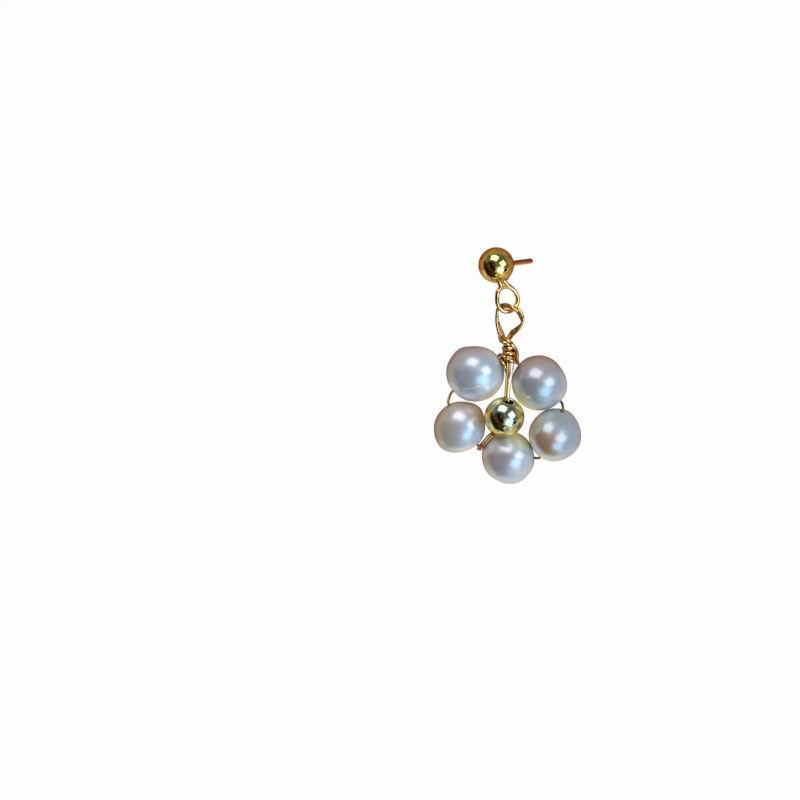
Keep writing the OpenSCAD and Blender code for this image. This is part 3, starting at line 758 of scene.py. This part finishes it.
# the left tail above the bead, painted in shade
v, f, u = joined(shaded_parts)
tails = make_mesh("bead_wire_tails", v, f, "drop", ["centre_wire"], u)
paint(tails, WIRE_SHADED)
# the hooks below the bead, painted with the warm shade copy
v, f, u = joined(hook_parts)
hooks = make_mesh("bead_wire_hooks", v, f, "drop", (), u)
paint(hooks, WIRE_WARM_SHADE)
# the right tail above the bead, painted as lit
v, f, u = joined(lit_parts)
upper = make_mesh("bead_wire_upper", v, f, "drop", (), u)
paint(upper, WIRE_LIT)


# ---------------------------------------------------------------- stud
BALL_C = np.array([-0.11, -2.03, 0.02])
BALL_R = 2.03


def ball_skin(n=120):
    """Ball as a rounded cube, so that it has no poles."""
    k = n // 4
    index, verts, faces = {}, [], []

    def vert(p):
        key = tuple(np.round(p, 6))
        if key not in index:
            index[key] = len(verts)
            verts.append(unit(np.tan(np.asarray(p) * math.pi / 4)))
        return index[key]
    g = np.linspace(-1, 1, k + 1)
    for ax in range(3):
        for sg in (-1, 1):
            for i in range(k):
                for j in range(k):
                    quad = []
                    for x, y in ((g[i], g[j]), (g[i + 1], g[j]), (g[i + 1], g[j + 1]), (g[i], g[j + 1])):
                        p = [0, 0, 0]
                        p[ax], p[(ax + 1) % 3], p[(ax + 2) % 3] = sg, x, y
                        quad.append(vert(p))
                    faces.append(tuple(quad if sg > 0 else reversed(quad)))
    return np.array(verts), faces


n, f = ball_skin(160)
k = np.array([noise.noise(Vector(q * 1.7) + Vector((3.3, 8.2, 1.4))) for q in n])
v = BALL_C + n * (BALL_R * (1 + 0.0035 * k))[:, None]
ball = make_mesh("stud_ball", v, f, "stud", ["ear_stud"])
paint(ball, STUD_GOLD)


def turned(profile, axis_from, axis, n=48):
    """Surface of revolution of (along, radius) pairs, closed at both ends."""
    axis = unit(axis)
    e1 = unit(np.cross(axis, [0.3, 0.2, 0.93]))
    e2 = np.cross(axis, e1)
    verts, faces, uvs = [], [], []
    for t, r in profile:
        for i in range(n):
            a = 2 * math.pi * i / n
            verts.append(axis_from + t * axis + r * (math.cos(a) * e1 + math.sin(a) * e2))
    m = len(profile)
    for j in range(m - 1):
        for i in range(n):
            i2 = (i + 1) % n
            faces.append((j * n + i, j * n + i2, (j + 1) * n + i2, (j + 1) * n + i))
            uvs.append(((i / n, profile[j][0]), ((i + 1) / n, profile[j][0]),
                        ((i + 1) / n, profile[j + 1][0]), (i / n, profile[j + 1][0])))
    faces.append(tuple(range(n - 1, -1, -1)))
    uvs.append(tuple((i / n, profile[0][0]) for i in range(n - 1, -1, -1)))
    faces.append(tuple((m - 1) * n + i for i in range(n)))
    uvs.append(tuple((i / n, profile[-1][0]) for i in range(n)))
    return np.array(verts), faces, uvs


# post with a small solder foot on the ball and a rounded tip
prof = [(-0.35, 0.52), (-0.10, 0.50), (-0.02, 0.47), (0.03, 0.425), (0.08, 0.375), (0.14, 0.335), (0.22, 0.31), (0.32, 0.30)]
prof += [(t, 0.30) for t in np.linspace(0.6, 9.2, 30)]
prof += [(9.2 + 0.3 * math.sin(a), max(0.3 * math.cos(a), 0.012)) for a in np.radians(np.arange(10, 91, 10))]
v, f, u = turned(prof, np.array([0.0, 0.0, 0.0]), [0, 1, 0])
post = make_mesh("ear_post", v, f, "stud", (), u)
paint(post, STUD_GOLD)

# ring: a bent wire whose ends are soldered to the ball, with solder between them
RING_TURN = math.radians(48)
E = np.array([math.cos(RING_TURN), math.sin(RING_TURN), 0])      # across, in the ring's plane
N = np.array([-math.sin(RING_TURN), math.cos(RING_TURN), 0])     # square to it, backwards
RC = np.array([0.0, -2.0, -3.96]) + 1.31 * E


def in_ring(x, z, y=0.0):
    return RC + x * E + y * N + np.array([0, 0, z])


def remeshed(name, parts, voxel, rounds):
    """Melts overlapping parts into one smooth skin. Works in millimetres, so the voxel is in millimetres too."""
    v, f, _ = joined(parts)
    me = bpy.data.meshes.new(name + "_raw")
    me.from_pydata([tuple(map(float, q)) for q in v], [], f)
    ob = bpy.data.objects.new(name + "_raw", me)
    bpy.context.scene.collection.objects.link(ob)
    mod = ob.modifiers.new("melt", "REMESH")
    mod.mode = "VOXEL"
    mod.voxel_size = voxel
    sm = ob.modifiers.new("smooth", "SMOOTH")
    sm.factor, sm.iterations = 0.5, rounds
    dg = bpy.context.evaluated_depsgraph_get()
    dg.update()
    ev = ob.evaluated_get(dg)
    out = bpy.data.meshes.new_from_object(ev)
    verts = np.array([q.co[:] for q in out.vertices])
    faces = [tuple(p.vertices) for p in out.polygons]
    bpy.data.objects.remove(ob)
    bpy.data.meshes.remove(me)
    bpy.data.meshes.remove(out)
    return verts, faces


ring_bent = catmull([in_ring(*q) for q in (
    (-1.10, 2.25), (-1.00, 1.88, -0.03), (-0.88, 1.56, -0.05), (-1.02, 1.22, -0.03), (-1.25, 0.86), (-1.32, 0.31), (-1.27, -0.31, 0.02),
    (-0.98, -0.90, 0.03), (-0.53, -1.25, 0.02), (0.0, -1.34), (0.53, -1.23, -0.02), (1.01, -0.86, -0.03), (1.31, -0.28, -0.02),
    (1.32, 0.28), (1.03, 0.86, 0.02), (0.54, 1.34, 0.03), (0.04, 1.72), (-0.32, 2.05), (-0.50, 2.32))], 12)
parts = [tube(ring_bent, 0.25, 22, seed=51, rough=0.03)]
arc = catmull([in_ring(-1.22, 0.80), in_ring(-1.02, 1.10), in_ring(-0.66, 1.34), in_ring(-0.22, 1.42), in_ring(0.22, 1.38),
               in_ring(0.62, 1.18)], 10)
solder = [tube(arc, 0.17, 18, seed=57)]
for x0, x1, r0, r1 in ((-0.86, -0.62, 0.17, 0.14), (-0.66, -0.36, 0.17, 0.14), (-0.48, -0.10, 0.17, 0.13)):
    web = catmull([in_ring(x0, 2.25, 0.08), in_ring(0.6 * x0 + 0.4 * x1, 1.90, 0.08), in_ring(x1, 1.42, 0.04)], 8)
    solder.append(tube(web, np.linspace(r0, r1, len(web)), 18, seed=55))
corner = catmull([in_ring(-0.76, 1.60, 0.03), in_ring(-0.90, 1.22, 0.02), in_ring(-1.08, 0.84)], 8)
solder.append(tube(corner, np.linspace(0.19, 0.14, len(corner)), 18, seed=56))
fillet = catmull([in_ring(-1.31 + 1.95 * math.cos(t), 3.96 + 1.95 * math.sin(t)) for t in np.radians([-96, -80, -66, -52, -38, -26])], 8)
solder.append(tube(fillet, np.interp(np.linspace(0, 1, len(fillet)), [0, 0.35, 0.65, 1], [0.10, 0.20, 0.22, 0.08]), 18, seed=58))
v, f = remeshed("stud_ring", parts, 0.036, 6)
ring = make_mesh("stud_ring_wire", v, f, "stud", ())
paint(ring, RING_GOLD)
v, f = remeshed("stud_solder", solder, 0.036, 6)
flow = make_mesh("stud_ring_solder", v, f, "stud", ())
paint(flow, SOLDER)

# ---------------------------------------------------------------- camera, lights, surroundings
scene = bpy.context.scene
scene.view_settings.view_transform = "Standard"
scene.view_settings.look = "None"

cam_data = bpy.data.cameras.new("camera")
cam = bpy.data.objects.new("camera", cam_data)
scene.collection.objects.link(cam)
scene.camera = cam
FAR = 2.5                                      # metres from the earring
PX = 8.8                                       # pixels to the millimetre there, in an 800-pixel frame
cam_data.sensor_width = 36.0
cam_data.lens = 36.0 * FAR / (800 / PX * MM)
cam_data.clip_start, cam_data.clip_end = 0.1, 60.0
aim = (-RIGHT * (503.1 - 400) / PX + UP * -(400 - 264.5) / PX) * MM
eye = aim - VIEW * FAR
cam.matrix_world = Matrix((
    (RIGHT[0], UP[0], -VIEW[0], eye[0]),
    (RIGHT[1], UP[1], -VIEW[1], eye[1]),
    (RIGHT[2], UP[2], -VIEW[2], eye[2]),
    (0, 0, 0, 1)))

MIDDLE = Vector((0.0015, -0.0012, -0.0125))


def window(name, side, up, front, far, wide, high, roll, colour, foot, radiance):
    """Rectangular window light with soft, uneven edges; its place is in the camera's directions, its size in degrees.
    colour is its upper part's, foot its lower part's."""
    d = unit(side * RIGHT + up * UP - front * VIEW)
    light = bpy.data.lights.new(name, "AREA")
    light.shape = "RECTANGLE"
    light.size = 2 * far * math.tan(math.radians(wide / 2))
    light.size_y = 2 * far * math.tan(math.radians(high / 2))
    light.energy = radiance * math.pi * light.size * light.size_y
    light.use_nodes = True
    nt = light.node_tree
    nt.nodes.clear()
    out = add(nt, "ShaderNodeOutputLight")
    glow = add(nt, "ShaderNodeEmission")
    nt.links.new(glow.outputs[0], out.inputs[0])
    pane = add(nt, "ShaderNodeSeparateXYZ")
    nt.links.new(add(nt, "ShaderNodeNewGeometry").outputs["Parametric"], pane.inputs[0])

    def sums(op, a, b):
        n = nt.nodes.new("ShaderNodeMath")
        n.operation = op
        for i, x in enumerate((a, b)):
            if isinstance(x, (int, float)):
                n.inputs[i].default_value = x
            else:
                nt.links.new(x, n.inputs[i])
        return n.outputs[0]
    u, v = pane.outputs["X"], pane.outputs["Y"]
    at = add(nt, "ShaderNodeCombineXYZ")
    nt.links.new(u, at.inputs[0])
    nt.links.new(v, at.inputs[1])
    at.inputs[2].default_value = side * 5 + up * 3
    ragged = add(nt, "ShaderNodeTexNoise", Scale=2.6, Detail=2.0)
    nt.links.new(at.outputs[0], ragged.inputs["Vector"])
    part = nt.nodes.new("ShaderNodeSeparateColor")
    nt.links.new(ragged.outputs["Color"], part.inputs[0])
    strength = None
    for x, off in ((u, part.outputs[0]), (v, part.outputs[1])):
        x2 = sums("ADD", x, sums("MULTIPLY", sums("SUBTRACT", off, 0.5), 0.34))
        e = sums("MULTIPLY", ease(nt, x2, 0.03, 0.16), ease(nt, sums("SUBTRACT", 1.0, x2), 0.03, 0.16))
        strength = e if strength is None else sums("MULTIPLY", strength, e)
    nt.links.new(strength, glow.inputs["Strength"])
    nt.links.new(mixed(nt, ease(nt, v, 0.25, 0.75), foot, colour), glow.inputs["Color"])
    ob = bpy.data.objects.new(name, light)
    scene.collection.objects.link(ob)
    ob.location = MIDDLE + Vector(d) * far
    q = Vector(d).to_track_quat("Z", "Y")
    ob.rotation_mode = "QUATERNION"
    ob.rotation_quaternion = q @ Matrix.Rotation(math.radians(roll), 4, "Z").to_quaternion()
    ob.visible_camera = False
    return ob


window("window_high", -0.16, 0.73, 0.62, 0.5, 50, 39, -12, (0.95, 0.96, 1.0), (0.90, 0.93, 1.0), 3.0)
window("window_right", 0.68, 0.16, 0.70, 0.5, 42, 38, 24, (0.90, 0.95, 1.0), (0.80, 0.91, 1.0), 3.1)
window("window_low", 0.46, -0.50, 0.72, 0.5, 48, 50, -6, (0.23, 0.62, 1.0), (0.17, 0.54, 1.0), 3.25)

world = bpy.data.worlds.new("studio")
scene.world = world
world.use_nodes = True
world.cycles.sampling_method = "NONE"
wt = world.node_tree
wt.nodes.clear()


def math_node(op, a, b=None, clamp=False):
    n = wt.nodes.new("ShaderNodeMath")
    n.operation = op
    n.use_clamp = clamp
    for i, x in enumerate((a, b)):
        if x is None:
            continue
        if isinstance(x, (int, float)):
            n.inputs[i].default_value = x
        else:
            wt.links.new(x, n.inputs[i])
    return n.outputs[0]


def dot(v, d):
    n = wt.nodes.new("ShaderNodeVectorMath")
    n.operation = "DOT_PRODUCT"
    wt.links.new(v, n.inputs[0])
    n.inputs[1].default_value = [float(x) for x in d]
    return n.outputs["Value"]


def blend(fac, a, b):
    n = wt.nodes.new("ShaderNodeMix")
    n.data_type = "RGBA"
    wt.links.new(fac, n.inputs["Factor"])
    for i, x in ((6, a), (7, b)):
        if isinstance(x, tuple):
            n.inputs[i].default_value = (*x, 1)
        else:
            wt.links.new(x, n.inputs[i])
    return n.outputs[2]


def step(x, lo, hi):
    n = wt.nodes.new("ShaderNodeMapRange")
    n.interpolation_type = "SMOOTHSTEP"
    n.inputs["From Min"].default_value, n.inputs["From Max"].default_value = lo, hi
    wt.links.new(x, n.inputs["Value"])
    return n.outputs["Result"]


sky = wt.nodes.new("ShaderNodeTexCoord").outputs["Generated"]
height = dot(sky, (0, 0, 1))
front = dot(sky, -VIEW)
side = dot(sky, RIGHT)
rise = dot(sky, UP)
spots = wt.nodes.new("ShaderNodeTexNoise")
spots.inputs["Scale"].default_value = 2.4
spots.inputs["Detail"].default_value = 3.0
spots.inputs["Distortion"].default_value = 0.6
wt.links.new(sky, spots.inputs["Vector"])
patch = spots.outputs["Fac"]
# behind, from the farthest outwards: dark red-brown, golden brown, then paler round the sides
outer = blend(step(patch, 0.35, 0.66), (0.08, 0.03, 0.015), (0.19, 0.085, 0.035))
band = blend(step(patch, 0.38, 0.60), (0.24, 0.12, 0.04), (0.50, 0.30, 0.08))
rim = blend(step(side, -0.4, 0.7), (0.46, 0.42, 0.18), (0.40, 0.33, 0.27))
rim = blend(step(patch, 0.38, 0.58), blend(math_node("ADD", 0.55, 0.0), rim, (0.15, 0.10, 0.04)), rim)
room = blend(step(front, -0.92, -0.70), outer, band)
room = blend(step(front, -0.46, -0.26), room, rim)
# in front: a dim greenish room, with the viewer's dark shape low on the left
fore = blend(step(rise, -0.5, 0.6), (0.20, 0.28, 0.27), (0.13, 0.20, 0.21))
fore = blend(step(patch, 0.36, 0.64), (0.09, 0.12, 0.10), fore)
room = blend(step(front, -0.06, 0.30), room, fore)
glint = math_node("MULTIPLY", step(rise, -0.08, -0.30), step(front, -0.70, -0.88))
room = blend(glint, room, (0.74, 0.46, 0.16))
bounce = blend(step(front, -0.95, -0.40), (0.66, 0.44, 0.20), blend(step(patch, 0.42, 0.56), (0.40, 0.37, 0.22), (0.83, 0.81, 0.66)))
room = blend(step(rise, -0.14, -0.56), room, bounce)
gloom = blend(step(patch, 0.40, 0.60), (0.006, 0.006, 0.005), (0.11, 0.060, 0.025))
warp = math_node("MULTIPLY", math_node("SUBTRACT", patch, 0.5), 0.5)
side2 = math_node("ADD", side, warp)
rise2 = math_node("ADD", rise, warp)
hide = math_node("MULTIPLY", step(side2, 0.02, -0.12), step(rise2, 0.40, 0.26))
hide = math_node("MULTIPLY", hide, step(front, -0.16, 0.04))
room = blend(hide, room, gloom)
thing = step(dot(sky, unit(0.85 * RIGHT - 0.45 * UP - 0.28 * VIEW)), 0.976, 0.992)
room = blend(thing, room, (0.012, 0.012, 0.010))
path = wt.nodes.new("ShaderNodeLightPath")
# the soft light that falls on matt surfaces: the pale floor from below, pale walls all round
fill = blend(step(height, 0.15, -0.15), (0.33, 0.33, 0.35), (0.76, 0.76, 0.79))
room = blend(path.outputs["Is Diffuse Ray"], room, fill)
bg = wt.nodes.new("ShaderNodeBackground")
wt.links.new(room, bg.inputs["Color"])
white = wt.nodes.new("ShaderNodeBackground")
white.inputs["Color"].default_value = (0.982, 0.982, 0.982, 1)
mixer = wt.nodes.new("ShaderNodeMixShader")
wt.links.new(path.outputs["Is Camera Ray"], mixer.inputs[0])
wt.links.new(bg.outputs[0], mixer.inputs[1])
wt.links.new(white.outputs[0], mixer.inputs[2])
out = wt.nodes.new("ShaderNodeOutputWorld")
wt.links.new(mixer.outputs[0], out.inputs["Surface"])

# plain pale floor, some way under the hanging earring
fm, ft, fb = nodes_of("pale_floor")
ft.nodes.remove(fb)
em = add(ft, "ShaderNodeEmission")
em.inputs["Color"].default_value = (0.982, 0.982, 0.982, 1)
ft.links.new(em.outputs[0], ft.nodes["Material Output"].inputs["Surface"])
size = 20.0
me = bpy.data.meshes.new("floor")
me.from_pydata([(-size, -size, -0.16), (size, -size, -0.16), (size, size, -0.16), (-size, size, -0.16)], [], [(0, 1, 2, 3)])
floor = bpy.data.objects.new("floor", me)
scene.collection.objects.link(floor)
me.materials.append(fm)
floor.visible_diffuse = floor.visible_glossy = floor.visible_shadow = False
floor.visible_transmission = False
